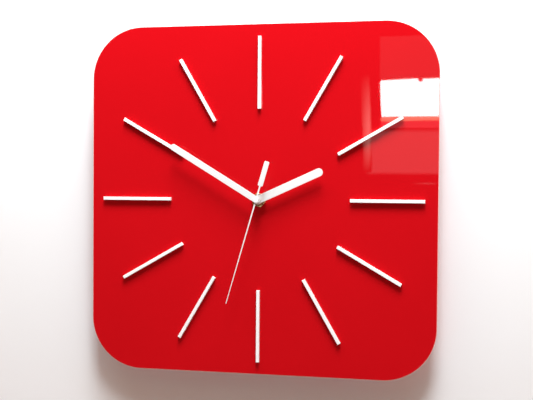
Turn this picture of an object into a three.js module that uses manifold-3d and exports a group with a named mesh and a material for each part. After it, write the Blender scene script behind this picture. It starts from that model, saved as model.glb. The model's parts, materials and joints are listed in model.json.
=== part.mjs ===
// Square wall clock. A red gloss acrylic dial with rounded corners carries twelve raised hour
// markers. It is clamped by a brass nut to a quartz movement, which drives three hands and hangs
// from the wall by a cranked steel bracket.
//
// Units are millimetres. Pieces are built in the dial's frame: x to the right, y up, z out of the
// wall, with z = 0 on the wall and the hands turning about x = y = 0. The last lines turn the
// finished clock so that +Z is up and the dial looks along -Y, and put the origin on the wall where
// the nail sits in the bracket's slot.

import * as THREE from "three";
import { mergeVertices } from "three/addons/utils/BufferGeometryUtils.js";
import Module from "manifold-3d";

const wasm = await Module();
wasm.setup();

// ---------------------------------------------------------------- driving dimensions

const DIAL = { side: 300, corner: 45, thickness: 3 };
const MARKER = { width: 2.75, height: 3, length: 61.5, innerRadius: 77.5 };
const HOUR_HAND = { length: 60.2, width: 6.8, thickness: 0.5, above: 6.8, angle: 65.5 };
const MINUTE_HAND = { length: 88, width: 5.5, thickness: 0.5, above: 10.8, angle: 301.4 };
const SECOND_HAND = {
  length: 91,
  hubWidth: 1.15,
  tipWidth: 0.6,
  eyeRadius: 2.15,
  thickness: 0.35,
  above: 14.6,
  angle: 196,
  neckWidth: 1.35,
  weight: { width: 4.3, from: 12.3, to: 33.7 },
};
const RIM = { height: 1.2, wall: 0.95 }; // drawn collar behind the eye of the hour and minute hands
const COLLET = { radius: 1.1, tail: 1.7, headRadius: 2.3, head: 0.9 };

const CASE = { side: 56, depth: 17, corner: 4, wall: 1.2, split: 8, front: 1.4 };
const DIVIDER = { top: -11, bottom: -12, halfWidth: 25.8 }; // wall between battery bay and train
const BRACKET = { thickness: 0.8, width: 22, foot: -9, riser: 29.5, head: 47, standOff: 0.7 };
const SLOT = { width: 12, bottom: 37.5, top: 43.5, notch: 0.8 }; // hanging slot in the bracket's head
const RUBBER_WASHER = { radius: 9, thickness: 1.2 };
const BRASS_WASHER = { radius: 5.4, thickness: 0.5 };
const NUT = { acrossFlats: 11, thickness: 2.5, chamfer: 0.5, turn: THREE.MathUtils.degToRad(46) };

const STATOR = { back: 5, front: 5.8, left: -5, right: 16.5, legWidth: 4, legTop: 24.2, gap: 0.4 };
const BOARD = { left: -25, right: -6.5, bottom: 17.8, top: 25.8, back: 6, front: 6.8 };

// The nested shafts: a threaded bush, and inside it the hour tube, minute pipe and second arbor.
const BUSH = { radius: 3.95, bore: 2.75, pastNut: 1, flangeRadius: 6, flange: 1 };
const HOUR_TUBE = { radius: 2.5, bore: 1.95 };
const MINUTE_PIPE = { radius: 1.7, bore: 0.75 };
const ARBOR_RADIUS = 0.5;
const PIVOT_RADIUS = 0.35;
const PRESS_GAP = 0.05; // radial gap drawn at a press fit
const THREAD_GAP = 0.05;
const RUNNING_GAP = 0.2;

// Distances from the wall of the train, [back, front] of each toothed wheel and pinion.
const WHEEL = {
  rotorPinion: [2, 3.7],
  step: [2.4, 3.2],
  stepPinion: [3.1, 5.6],
  second: [4.4, 5.2],
  secondPinion: [5.1, 7.8],
  third: [6.6, 7.4],
  thirdPinion: [7.3, 11.6],
  centre: [10.4, 11.2],
  cannonPinion: [11.9, 13.7],
  motion: [12.4, 13.4],
  motionPinion: [13.3, 15.4],
  hour: [14.2, 15.2],
  set: [12.4, 13.4],
};
const ROTOR_MAGNET = { radius: 3, bore: 0.75, back: 4.4, front: 7, stem: 0.7 };
const CLUTCH = { back: 11.3, front: 11.6, hub: 2.2, arm: 5 };

// Distances from the wall of the stacked pieces.
const BRACKET_BACK = CASE.depth;
const RUBBER_BACK = BRACKET_BACK + BRACKET.thickness;
const DIAL_BACK = RUBBER_BACK + RUBBER_WASHER.thickness;
const DIAL_FRONT = DIAL_BACK + DIAL.thickness;
const NUT_BACK = DIAL_FRONT + BRASS_WASHER.thickness;
const BUSH_END = NUT_BACK + NUT.thickness + BUSH.pastNut;
const PLATE_INSIDE = CASE.depth - CASE.front; // inner face of the front case's plate

// ---------------------------------------------------------------- gear train

const PRESSURE_ANGLE = THREE.MathUtils.degToRad(28);
const ADDENDUM = 0.8;
const DEDENDUM = 1.05;
const BACKLASH = 0.06;

// Tooth counts: rotor 30:1 second, second 60:1 minute, minute 12:1 hour.
const GEAR = {
  rotorPinion: { teeth: 8, module: 0.25 },
  stepWheel: { teeth: 48, module: 0.25 },
  stepPinion: { teeth: 10, module: 0.3 },
  secondWheel: { teeth: 50, module: 0.3 },
  secondPinion: { teeth: 8, module: 0.3388235 },
  thirdWheel: { teeth: 60, module: 0.3388235 },
  thirdPinion: { teeth: 8, module: 0.32 },
  centreWheel: { teeth: 64, module: 0.32 },
  cannonPinion: { teeth: 12, module: 0.4166667 },
  motionWheel: { teeth: 36, module: 0.4166667 },
  motionPinion: { teeth: 10, module: 0.4 },
  hourWheel: { teeth: 40, module: 0.4 },
  setGear: { teeth: 18, module: 0.4166667 },
};

const centreDistance = (a, b) => ((a.teeth + b.teeth) * a.module) / 2;

// The point at a distance and a direction, in degrees from +x, from another point.
function polar(from, distance, degrees) {
  const a = THREE.MathUtils.degToRad(degrees);
  return new THREE.Vector2(from.x + distance * Math.cos(a), from.y + distance * Math.sin(a));
}

const AXIS = new THREE.Vector2(0, 0);
const THIRD_AT = polar(AXIS, centreDistance(GEAR.thirdPinion, GEAR.centreWheel), 150);
const STEP_AT = polar(AXIS, centreDistance(GEAR.stepPinion, GEAR.secondWheel), 75);
const ROTOR_AT = polar(STEP_AT, centreDistance(GEAR.rotorPinion, GEAR.stepWheel), 60);
const MOTION_AT = polar(AXIS, centreDistance(GEAR.cannonPinion, GEAR.motionWheel), 20);
const KNOB_AT = polar(MOTION_AT, centreDistance(GEAR.motionWheel, GEAR.setGear), -25);

// The turn of gear b that puts one of its gaps on a tooth of gear a.
function meshTurn(a, aTurn, aAt, b, bAt) {
  const line = Math.atan2(bAt.y - aAt.y, bAt.x - aAt.x);
  const toothPitch = (gear) => (2 * Math.PI) / gear.teeth;
  const share = (line - aTurn) / toothPitch(a);
  return line + Math.PI - (0.5 - share) * toothPitch(b);
}

const TURN = {
  stepWheel: meshTurn(GEAR.rotorPinion, 0, ROTOR_AT, GEAR.stepWheel, STEP_AT),
  secondWheel: meshTurn(GEAR.stepPinion, 0, STEP_AT, GEAR.secondWheel, AXIS),
  thirdWheel: meshTurn(GEAR.secondPinion, 0, AXIS, GEAR.thirdWheel, THIRD_AT),
  centreWheel: meshTurn(GEAR.thirdPinion, 0, THIRD_AT, GEAR.centreWheel, AXIS),
  motionWheel: meshTurn(GEAR.cannonPinion, 0, AXIS, GEAR.motionWheel, MOTION_AT),
  hourWheel: meshTurn(GEAR.motionPinion, 0, MOTION_AT, GEAR.hourWheel, AXIS),
};
TURN.setGear = meshTurn(GEAR.motionWheel, TURN.motionWheel, MOTION_AT, GEAR.setGear, KNOB_AT);

// ---------------------------------------------------------------- outlines

// A circle of straight sides, or with few segments a regular polygon.
function circle(radius, segments = 24, at = AXIS, turn = 0) {
  const points = [];
  for (let i = 0; i < segments; i++) {
    const a = turn + (2 * Math.PI * i) / segments;
    points.push(new THREE.Vector2(at.x + radius * Math.cos(a), at.y + radius * Math.sin(a)));
  }
  return points;
}

// A rectangle between two corners, its own corners rounded.
function rectangle(x0, y0, x1, y1, radius = 0, segments = 4) {
  if (radius === 0) {
    return [[x0, y0], [x1, y0], [x1, y1], [x0, y1]].map((p) => new THREE.Vector2(...p));
  }
  const points = [];
  const centres = [[x1 - radius, y1 - radius], [x0 + radius, y1 - radius],
    [x0 + radius, y0 + radius], [x1 - radius, y0 + radius]];
  centres.forEach(([cx, cy], quarter) => {
    for (let i = 0; i <= segments; i++) {
      const a = (Math.PI / 2) * (quarter + i / segments);
      points.push(new THREE.Vector2(cx + radius * Math.cos(a), cy + radius * Math.sin(a)));
    }
  });
  return points;
}

const square = (side, radius, segments) =>
  rectangle(-side / 2, -side / 2, side / 2, side / 2, radius, segments);

// Involute teeth. A wheel's small flanks are single chords, a pinion's have a point at the pitch.
function gearOutline(gear, turn = 0) {
  const pitch = (gear.teeth * gear.module) / 2;
  const base = pitch * Math.cos(PRESSURE_ANGLE);
  const tip = pitch + ADDENDUM * gear.module;
  const root = pitch - DEDENDUM * gear.module;
  const involute = (radius) => {
    const a = Math.acos(Math.min(1, base / radius));
    return Math.tan(a) - a;
  };
  const halfAtPitch = Math.PI / (2 * gear.teeth) - BACKLASH / (2 * pitch);
  const half = (radius) => halfAtPitch + involute(pitch) - involute(radius);
  const flank = gear.teeth < 20 ? [root, pitch, tip] : [root, tip];
  const points = [];
  for (let tooth = 0; tooth < gear.teeth; tooth++) {
    const middle = turn + (2 * Math.PI * tooth) / gear.teeth;
    const rising = flank.map((radius) => [radius, middle - half(radius)]);
    const falling = flank.map((radius) => [radius, middle + half(radius)]).reverse();
    for (const [radius, a] of [...rising, ...falling]) {
      points.push(new THREE.Vector2(radius * Math.cos(a), radius * Math.sin(a)));
    }
  }
  return points;
}

// ---------------------------------------------------------------- solids

function toSolid(geometry) {
  const bare = geometry.index ? geometry.toNonIndexed() : geometry;
  bare.deleteAttribute("normal");
  bare.deleteAttribute("uv");
  const merged = mergeVertices(bare, 1e-4);
  const triVerts = new Uint32Array(merged.index.array);
  const vertProperties = merged.attributes.position.array;
  return new wasm.Manifold(new wasm.Mesh({ numProp: 3, vertProperties, triVerts }));
}

function toGeometry(solid) {
  const { numProp, vertProperties, triVerts } = solid.getMesh();
  const positions = new Float32Array((vertProperties.length / numProp) * 3);
  for (let i = 0; i < positions.length / 3; i++) {
    positions.set(vertProperties.subarray(i * numProp, i * numProp + 3), i * 3);
  }
  const geometry = new THREE.BufferGeometry();
  geometry.setAttribute("position", new THREE.BufferAttribute(positions, 3));
  geometry.setIndex(new THREE.BufferAttribute(triVerts, 1));
  return geometry;
}

// An outline, less its holes, from one distance off the wall to another.
function slab(outline, z0, z1, ...holes) {
  const shape = new THREE.Shape(outline);
  shape.holes = holes.map((points) => new THREE.Path(points));
  const geometry = new THREE.ExtrudeGeometry(shape, { depth: z1 - z0, bevelEnabled: false });
  return toSolid(geometry.translate(0, 0, z0));
}

const rod = (radius, z0, z1, at = AXIS, segments = 12) =>
  slab(circle(radius, segments, at), z0, z1);

const tube = (radius, bore, z0, z1, segments = 24) =>
  slab(circle(radius, segments), z0, z1, circle(bore, segments));

const block = (x0, y0, x1, y1, z0, z1) => slab(rectangle(x0, y0, x1, y1), z0, z1);

// A shape turned about the z axis, from a closed profile of [radius, z] points.
function turned(profile, segments) {
  const points = profile.map(([radius, z]) => new THREE.Vector2(radius, z));
  const lathe = new THREE.LatheGeometry(points, segments);
  return toSolid(lathe.rotateX(Math.PI / 2));
}

const join = (first, ...others) => others.reduce((a, b) => a.add(b), first);
const cut = (first, ...others) => others.reduce((a, b) => a.subtract(b), first);

// ---------------------------------------------------------------- materials

const paint = (color, roughness, metalness = 0) =>
  new THREE.MeshStandardMaterial({ color, roughness, metalness });

const redAcrylic = paint("#d20c18", 0.08);
const whiteAcrylic = paint("#f4f3ee", 0.25);
const whiteEnamel = paint("#f2f1ec", 0.4);
const brass = paint("#b08d4a", 0.35, 1);
const steel = paint("#b9bcc0", 0.4, 1);
const blackPlastic = paint("#17181a", 0.55);
const blackRubber = paint("#101010", 0.8);
const naturalPlastic = paint("#dfe0da", 0.5);
const copper = paint("#b5622d", 0.35, 1);
const boardGreen = paint("#1d5c37", 0.5);
const chipBlack = paint("#0d0d0e", 0.6);
const magnetGrey = paint("#4a4c50", 0.5, 0.6);
const batteryWrap = paint("#2c3e50", 0.35);

const clock = new THREE.Group();
const dialFrame = new THREE.Group();
clock.add(dialFrame);

function place(name, solid, material, at = AXIS, parent = dialFrame) {
  const mesh = new THREE.Mesh(toGeometry(solid), material);
  mesh.name = name;
  mesh.position.set(at.x, at.y, 0);
  parent.add(mesh);
}

// ---------------------------------------------------------------- dial and hour markers

const dialOutline = square(DIAL.side, DIAL.corner, 14);
place(
  "face_panel",
  slab(dialOutline, DIAL_BACK, DIAL_FRONT, circle(BUSH.radius + 0.15, 32)),
  redAcrylic,
);

for (let hour = 1; hour <= 12; hour++) {
  const spoke = new THREE.Group();
  spoke.rotation.z = (-Math.PI / 6) * hour;
  dialFrame.add(spoke);
  const { width, height, length, innerRadius } = MARKER;
  const bar = new THREE.BoxGeometry(width, length, height);
  bar.translate(0, innerRadius + length / 2, DIAL_FRONT + height / 2);
  const name = "hour_marker_" + String(hour).padStart(2, "0");
  place(name, toSolid(bar), whiteAcrylic, AXIS, spoke);
}

// ---------------------------------------------------------------- hands

// A hand is built pointing at twelve and turned to the time it shows.
function placeHand(hand, pieces) {
  const pointer = new THREE.Group();
  pointer.rotation.z = THREE.MathUtils.degToRad(-hand.angle);
  dialFrame.add(pointer);
  for (const [name, solid, material] of pieces) {
    place(name, solid, material, AXIS, pointer);
  }
}

// A flat baton with round ends and a drawn collar, which presses onto its tube.
function batonHand({ length, width, thickness, above }, shaftRadius) {
  const back = DIAL_FRONT + above;
  const eye = circle(shaftRadius + PRESS_GAP);
  const baton = rectangle(-width / 2, -width / 2, width / 2, length, width / 2 - 0.001, 7);
  const blade = slab(baton, back, back + thickness, eye);
  const collar = slab(circle(shaftRadius + RIM.wall), back - RIM.height, back + 0.1, eye);
  return join(blade, collar);
}

placeHand(HOUR_HAND, [["hour_hand", batonHand(HOUR_HAND, HOUR_TUBE.radius), whiteEnamel]]);
placeHand(MINUTE_HAND, [["minute_hand", batonHand(MINUTE_HAND, MINUTE_PIPE.radius), whiteEnamel]]);

// A needle that tapers to its tip, with a broad counterweight behind the eye.
function secondNeedle(hand) {
  const { length, hubWidth, tipWidth, eyeRadius, neckWidth, weight, thickness, above } = hand;
  const back = DIAL_FRONT + above;
  const front = back + thickness;
  const needle = [[-hubWidth / 2, 0], [hubWidth / 2, 0], [tipWidth / 2, length],
    [-tipWidth / 2, length]].map((p) => new THREE.Vector2(...p));
  const neck = rectangle(-neckWidth / 2, -weight.from - 1, neckWidth / 2, 0);
  const half = weight.width / 2;
  const tail = rectangle(-half, -weight.to, half, -weight.from, 0.9, 3);
  const blade = join(
    slab(needle, back, front),
    slab(neck, back, front),
    slab(tail, back, front),
    slab(circle(eyeRadius), back, front),
  );
  return cut(blade, rod(COLLET.radius + PRESS_GAP, back - 1, front + 1, AXIS, 24));
}

// The collet's tube grips the arbor's tip, and its head clamps the needle from the front.
const needleBack = DIAL_FRONT + SECOND_HAND.above;
const needleFront = needleBack + SECOND_HAND.thickness;
const ARBOR_TIP = needleBack - 0.2;
const colletBore = ARBOR_RADIUS + PRESS_GAP;
const collet = turned(
  [
    [colletBore, needleBack - COLLET.tail],
    [COLLET.radius, needleBack - COLLET.tail],
    [COLLET.radius, needleFront],
    [COLLET.headRadius, needleFront],
    [COLLET.headRadius, needleFront + COLLET.head * 0.6],
    [COLLET.headRadius * 0.8, needleFront + COLLET.head],
    [0, needleFront + COLLET.head],
    [0, needleBack],
    [colletBore, needleBack],
    [colletBore, needleBack - COLLET.tail],
  ],
  24,
);
placeHand(SECOND_HAND, [
  ["second_hand", secondNeedle(SECOND_HAND), whiteEnamel],
  ["second_hand_collet", collet, whiteEnamel],
]);

// ---------------------------------------------------------------- clamping stack at the centre

place(
  "threaded_bush",
  join(
    tube(BUSH.flangeRadius, BUSH.bore, PLATE_INSIDE, PLATE_INSIDE + BUSH.flange, 32),
    tube(BUSH.radius, BUSH.bore, PLATE_INSIDE, BUSH_END, 32),
  ),
  brass,
);

// Hexagon as it stands when tightened, its corners turned off front and back.
function hexNut({ acrossFlats, thickness, chamfer, turn }) {
  const cornerRadius = acrossFlats / Math.sqrt(3);
  const hole = circle(BUSH.radius + THREAD_GAP, 32);
  const hexagon = circle(cornerRadius, 6, AXIS, turn);
  const blank = slab(hexagon, NUT_BACK, NUT_BACK + thickness, hole);
  const flat = acrossFlats / 2;
  const chamfered = turned(
    [
      [0, NUT_BACK],
      [flat, NUT_BACK],
      [cornerRadius + 0.1, NUT_BACK + chamfer],
      [cornerRadius + 0.1, NUT_BACK + thickness - chamfer],
      [flat, NUT_BACK + thickness],
      [0, NUT_BACK + thickness],
    ],
    24,
  );
  return blank.intersect(chamfered);
}

place("fixing_nut", hexNut(NUT), brass);
place("brass_washer", tube(BRASS_WASHER.radius, BUSH.radius + 0.15, DIAL_FRONT, NUT_BACK, 32), brass);
place("rubber_washer", tube(RUBBER_WASHER.radius, BUSH.radius + 0.15, RUBBER_BACK, DIAL_BACK, 32),
  blackRubber);

// ---------------------------------------------------------------- hanger bracket

// A flat foot held by the nut, a riser past the top of the case, and a head near the wall whose
// slot takes a nail or a screw. The slot's top edge has three notches.
function bracket({ thickness, width, foot, riser, head, standOff }) {
  const half = width / 2;
  const footPlate = slab(
    rectangle(-half, foot, half, riser + thickness, 3),
    BRACKET_BACK,
    BRACKET_BACK + thickness,
    circle(BUSH.radius + 0.15, 32),
  );
  const squareEnd = block(-half, riser - 4, half, riser + thickness, BRACKET_BACK,
    BRACKET_BACK + thickness);
  const upright = block(-half, riser, half, riser + thickness, standOff, BRACKET_BACK + thickness);
  const slotHalf = SLOT.width / 2;
  const top = [[slotHalf, SLOT.bottom], [slotHalf, SLOT.top]];
  for (const x of [3, 0, -3]) {
    top.push([x + 1, SLOT.top], [x, SLOT.top + SLOT.notch], [x - 1, SLOT.top]);
  }
  top.push([-slotHalf, SLOT.top], [-slotHalf, SLOT.bottom]);
  const slot = top.map((p) => new THREE.Vector2(...p));
  const headPlate = slab(rectangle(-half, riser, half, head, 3), standOff, standOff + thickness, slot);
  const heel = block(-half, riser, half, riser + 4, standOff, standOff + thickness);
  return join(footPlate, squareEnd, upright, headPlate, heel);
}

place("hanger_bracket", bracket(BRACKET), steel);

// ---------------------------------------------------------------- movement case

const inner = CASE.side / 2 - CASE.wall; // half the inside width
const caseOutline = square(CASE.side, CASE.corner, 5);
const cavityOutline = square(CASE.side - 2 * CASE.wall, CASE.corner - CASE.wall, 4);
const MOTION_STUD = { radius: 0.6, from: 12.1 };
const THIRD_POST = { radius: 1.5, from: 11.9 };
const BLIND = 0.6; // depth of a pivot's blind hole
const PIVOT_HOLE = PIVOT_RADIUS + RUNNING_GAP;

// The front case: plate and walls, the divider, a stud for the motion wheel and a post for the
// third wheel's front pivot.
const frontCase = cut(
  join(
    cut(
      slab(caseOutline, CASE.split, CASE.depth),
      slab(cavityOutline, CASE.split - 1, PLATE_INSIDE),
    ),
    block(-DIVIDER.halfWidth, DIVIDER.bottom, DIVIDER.halfWidth, DIVIDER.top, CASE.split,
      PLATE_INSIDE + 0.2),
    rod(MOTION_STUD.radius, MOTION_STUD.from, PLATE_INSIDE + 0.2, MOTION_AT),
    rod(THIRD_POST.radius, THIRD_POST.from, PLATE_INSIDE + 0.2, THIRD_AT),
  ),
  rod(BUSH.radius + 0.1, CASE.split, CASE.depth + 1, AXIS, 32),
  rod(BUSH.flangeRadius + 0.1, CASE.split, PLATE_INSIDE + BUSH.flange, AXIS, 32),
  rod(PIVOT_HOLE, THIRD_POST.from - 1, THIRD_POST.from + BLIND, THIRD_AT),
  rod(PIVOT_HOLE, PLATE_INSIDE - 1, PLATE_INSIDE + BLIND, KNOB_AT),
);
place("movement_front_case", frontCase, blackPlastic);

// The back cover: a shallow tray, open over the battery, with a well for the setting knob and a
// raised ring round each back pivot.
const BAY = { halfLength: 26, bottom: -inner, top: DIVIDER.bottom };
const WELL = { radius: 6.2, wall: 1, floor: 2.8, floorThickness: 0.6 };
const KNOB = { radius: 5.4, back: 0.4, front: 2.5, shaft: 1, ridges: 20, ridge: 0.35 };
const BOSS = { radius: 1.2, height: 0.7 };

const backBosses = [AXIS, THIRD_AT, STEP_AT, ROTOR_AT].map((at) =>
  slab(circle(BOSS.radius, 12, at), CASE.wall - 0.1, CASE.wall + BOSS.height,
    circle(PIVOT_HOLE, 12, at)),
);
// Posts that carry the motor's stator and the circuit board.
const SUPPORT = { radius: 1.1, stator: [[-3, 19.4], [14.5, 19.4]], board: [[-23, 19.6], [-8.4, 24]] };
const supportPosts = [
  ...SUPPORT.stator.map(([x, y]) => rod(SUPPORT.radius, CASE.wall - 0.1, STATOR.back,
    new THREE.Vector2(x, y))),
  ...SUPPORT.board.map(([x, y]) => rod(SUPPORT.radius, CASE.wall - 0.1, BOARD.back,
    new THREE.Vector2(x, y))),
];
const wellTop = WELL.floor + WELL.floorThickness;
const backCover = cut(
  join(
    cut(slab(caseOutline, 0, CASE.split), slab(cavityOutline, CASE.wall, CASE.split + 1)),
    block(-DIVIDER.halfWidth, DIVIDER.bottom, DIVIDER.halfWidth, DIVIDER.top, CASE.wall - 0.2,
      CASE.split),
    rod(WELL.radius + WELL.wall, 0.5, wellTop, KNOB_AT, 32),
  ),
  block(-BAY.halfLength, BAY.bottom, BAY.halfLength, BAY.top, -1, CASE.wall + 0.1),
  rod(WELL.radius, -1, WELL.floor, KNOB_AT, 32),
  rod(KNOB.shaft + RUNNING_GAP, 0, wellTop + 1, KNOB_AT),
);
place("movement_back_cover", join(backCover, ...backBosses, ...supportPosts), blackPlastic);

// ---------------------------------------------------------------- train bridge

const BRIDGE = { back: 8.4, front: 9.6, left: -24.6, right: 24.6, bottom: -10.4, top: 16.8 };
const BRIDGE_POST = { radius: 1.5, x: 22.8, low: -8.4, high: 14.6 };
const posts = [];
for (const x of [-BRIDGE_POST.x, BRIDGE_POST.x]) {
  for (const y of [BRIDGE_POST.low, BRIDGE_POST.high]) {
    const at = new THREE.Vector2(x, y);
    posts.push(rod(BRIDGE_POST.radius, BRIDGE.front - 0.1, PLATE_INSIDE, at));
  }
}
place(
  "train_bridge",
  join(
    slab(
      rectangle(BRIDGE.left, BRIDGE.bottom, BRIDGE.right, BRIDGE.top, 2),
      BRIDGE.back,
      BRIDGE.front,
      circle(ARBOR_RADIUS + RUNNING_GAP, 12),
      circle(2, 16, THIRD_AT),
      circle(PIVOT_HOLE, 12, STEP_AT),
      circle(PIVOT_HOLE, 12, ROTOR_AT),
      circle(KNOB.shaft + RUNNING_GAP, 12, KNOB_AT),
    ),
    ...posts,
  ),
  naturalPlastic,
);

// ---------------------------------------------------------------- wheels, back to front

const ARBOR_BACK = CASE.wall + 0.1;

// The stepping motor's rotor: a round magnet on a pinion.
place(
  "rotor_magnet",
  tube(ROTOR_MAGNET.radius, ROTOR_MAGNET.bore, ROTOR_MAGNET.back, ROTOR_MAGNET.front, 20),
  magnetGrey,
  ROTOR_AT,
);
place(
  "rotor_pinion",
  join(
    slab(gearOutline(GEAR.rotorPinion), ...WHEEL.rotorPinion),
    rod(ROTOR_MAGNET.stem, WHEEL.rotorPinion[1] - 0.1, ROTOR_MAGNET.front + 0.4),
    rod(PIVOT_RADIUS, ARBOR_BACK, BRIDGE.front - 0.2),
  ),
  naturalPlastic,
  ROTOR_AT,
);
place(
  "step_wheel",
  join(
    slab(gearOutline(GEAR.stepWheel, TURN.stepWheel), ...WHEEL.step),
    slab(gearOutline(GEAR.stepPinion), ...WHEEL.stepPinion),
    rod(PIVOT_RADIUS, ARBOR_BACK, BRIDGE.front - 0.2),
  ),
  naturalPlastic,
  STEP_AT,
);
place(
  "second_wheel",
  cut(
    join(
      slab(gearOutline(GEAR.secondWheel, TURN.secondWheel), ...WHEEL.second),
      slab(gearOutline(GEAR.secondPinion), ...WHEEL.secondPinion),
    ),
    rod(ARBOR_RADIUS + PRESS_GAP, WHEEL.second[0] - 1, WHEEL.secondPinion[1] + 1),
  ),
  naturalPlastic,
);
place(
  "second_arbor",
  join(rod(ARBOR_RADIUS, 2.2, ARBOR_TIP), rod(PIVOT_RADIUS, ARBOR_BACK, 2.3)),
  steel,
);
place(
  "third_wheel",
  join(
    slab(gearOutline(GEAR.thirdWheel, TURN.thirdWheel), ...WHEEL.third),
    slab(gearOutline(GEAR.thirdPinion), ...WHEEL.thirdPinion),
    rod(PIVOT_RADIUS, ARBOR_BACK, THIRD_POST.from + BLIND - 0.2),
  ),
  naturalPlastic,
  THIRD_AT,
);
const PIPE_SEAT = 1.3; // radius of the minute pipe where the centre wheel sits
place(
  "centre_wheel",
  slab(gearOutline(GEAR.centreWheel, TURN.centreWheel), ...WHEEL.centre,
    circle(PIPE_SEAT + PRESS_GAP)),
  brass,
);
// A three-armed spring presses the centre wheel on the pipe, so that the hands can be set.
const springArms = [0, 1, 2].map((arm) => {
  const a = (2 * Math.PI * arm) / 3;
  const corner = (radius, swing) =>
    new THREE.Vector2(radius * Math.cos(a + swing), radius * Math.sin(a + swing));
  const reach = CLUTCH.arm;
  return slab(
    [corner(1.6, -0.4), corner(reach, -0.12), corner(reach, 0.12), corner(1.6, 0.4)],
    CLUTCH.back,
    CLUTCH.front,
  );
});
place(
  "clutch_spring",
  cut(
    join(rod(CLUTCH.hub, CLUTCH.back, CLUTCH.front, AXIS, 16), ...springArms),
    rod(PIPE_SEAT + PRESS_GAP, CLUTCH.back - 1, CLUTCH.front + 1, AXIS, 24),
  ),
  steel,
);
const MINUTE_PIPE_END = DIAL_FRONT + MINUTE_HAND.above + 1;
place(
  "minute_pipe",
  cut(
    join(
      rod(PIPE_SEAT, WHEEL.centre[0] - 0.4, WHEEL.cannonPinion[0] + 0.1, AXIS, 24),
      slab(gearOutline(GEAR.cannonPinion), ...WHEEL.cannonPinion),
      rod(MINUTE_PIPE.radius, WHEEL.cannonPinion[1] - 0.1, MINUTE_PIPE_END, AXIS, 24),
    ),
    rod(MINUTE_PIPE.bore, WHEEL.centre[0] - 1, MINUTE_PIPE_END + 1, AXIS, 16),
  ),
  steel,
);
place(
  "motion_wheel",
  cut(
    join(
      slab(gearOutline(GEAR.motionWheel, TURN.motionWheel), ...WHEEL.motion),
      slab(gearOutline(GEAR.motionPinion), ...WHEEL.motionPinion),
    ),
    rod(MOTION_STUD.radius + RUNNING_GAP, WHEEL.motion[0] - 1, WHEEL.motionPinion[1] + 1, AXIS, 16),
  ),
  naturalPlastic,
  MOTION_AT,
);
const HOUR_TUBE_END = DIAL_FRONT + HOUR_HAND.above + 1;
place(
  "hour_wheel",
  cut(
    join(
      slab(gearOutline(GEAR.hourWheel, TURN.hourWheel), ...WHEEL.hour),
      rod(HOUR_TUBE.radius, WHEEL.hour[0], HOUR_TUBE_END, AXIS, 24),
    ),
    rod(HOUR_TUBE.bore, WHEEL.hour[0] - 1, HOUR_TUBE_END + 1, AXIS, 24),
  ),
  naturalPlastic,
);

// ---------------------------------------------------------------- setting knob

const knobOutline = [];
for (let i = 0; i < KNOB.ridges * 2; i++) {
  const radius = KNOB.radius - (i % 2 ? KNOB.ridge : 0);
  const a = (Math.PI * i) / KNOB.ridges;
  knobOutline.push(new THREE.Vector2(radius * Math.cos(a), radius * Math.sin(a)));
}
place(
  "set_knob",
  join(
    slab(knobOutline, KNOB.back, KNOB.front),
    rod(KNOB.shaft, KNOB.front - 0.1, WHEEL.set[1] + 0.4),
    rod(PIVOT_RADIUS, WHEEL.set[1], PLATE_INSIDE + BLIND - 0.2),
  ),
  blackPlastic,
  KNOB_AT,
);
place(
  "set_gear",
  slab(gearOutline(GEAR.setGear, TURN.setGear), ...WHEEL.set, circle(KNOB.shaft + PRESS_GAP, 12)),
  naturalPlastic,
  KNOB_AT,
);

// ---------------------------------------------------------------- stepping motor

const statorBody = join(
  block(STATOR.left, ROTOR_AT.y - 3.7, STATOR.right, ROTOR_AT.y + 3.7, STATOR.back, STATOR.front),
  block(STATOR.left, ROTOR_AT.y, STATOR.left + STATOR.legWidth, STATOR.legTop, STATOR.back,
    STATOR.front),
  block(STATOR.right - STATOR.legWidth, ROTOR_AT.y, STATOR.right, STATOR.legTop, STATOR.back,
    STATOR.front),
);
place("stator", cut(statorBody, rod(3 + STATOR.gap, 4, 7, ROTOR_AT, 24)), steel);

const COIL = { y: 22.3, z: 6.1, left: -0.6, right: 12.1, flange: 3.4, wire: 3.1, barrel: 1.9 };
const CORE = { half: 0.9, thickness: 0.6 };
place(
  "coil_core",
  block(STATOR.left, COIL.y - CORE.half, STATOR.right, COIL.y + CORE.half, STATOR.front,
    STATOR.front + CORE.thickness),
  steel,
);

// Turned pieces of the coil stand on the z axis and are laid along x.
function layAlongX(solid) {
  return solid.rotate([0, 90, 0]).translate([0, COIL.y, COIL.z]);
}
const coreSlot = block(-50, COIL.y - CORE.half - 0.2, 50, COIL.y + CORE.half + 0.2,
  COIL.z - CORE.thickness / 2 - 0.2, COIL.z + CORE.thickness / 2 + 0.2);
const bobbin = layAlongX(
  join(
    rod(COIL.flange, COIL.left, COIL.left + 0.8, AXIS, 20),
    rod(COIL.barrel, COIL.left, COIL.right, AXIS, 20),
    rod(COIL.flange, COIL.right - 0.8, COIL.right, AXIS, 20),
  ),
);
place("coil_bobbin", cut(bobbin, coreSlot), naturalPlastic);
place(
  "coil_winding",
  layAlongX(tube(COIL.wire, COIL.barrel + PRESS_GAP, COIL.left + 0.9, COIL.right - 0.9, 20)),
  copper,
);

// ---------------------------------------------------------------- electronics

place(
  "circuit_board",
  block(BOARD.left, BOARD.bottom, BOARD.right, BOARD.top, BOARD.back, BOARD.front),
  boardGreen,
);
place(
  "timing_chip",
  turned([[0, BOARD.front], [2.2, BOARD.front], [1.9, BOARD.front + 0.6], [1, BOARD.front + 1],
    [0, BOARD.front + 1]], 16),
  chipBlack,
  new THREE.Vector2(-11, 20.6),
);
const CRYSTAL = { radius: 1, length: 6, x: -16, y: 21, turn: 90 };
place(
  "quartz_crystal",
  rod(CRYSTAL.radius, 0, CRYSTAL.length, AXIS, 12)
    .rotate([0, CRYSTAL.turn, 0])
    .translate([CRYSTAL.x - CRYSTAL.length, CRYSTAL.y, BOARD.front + CRYSTAL.radius]),
  steel,
);

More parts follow.
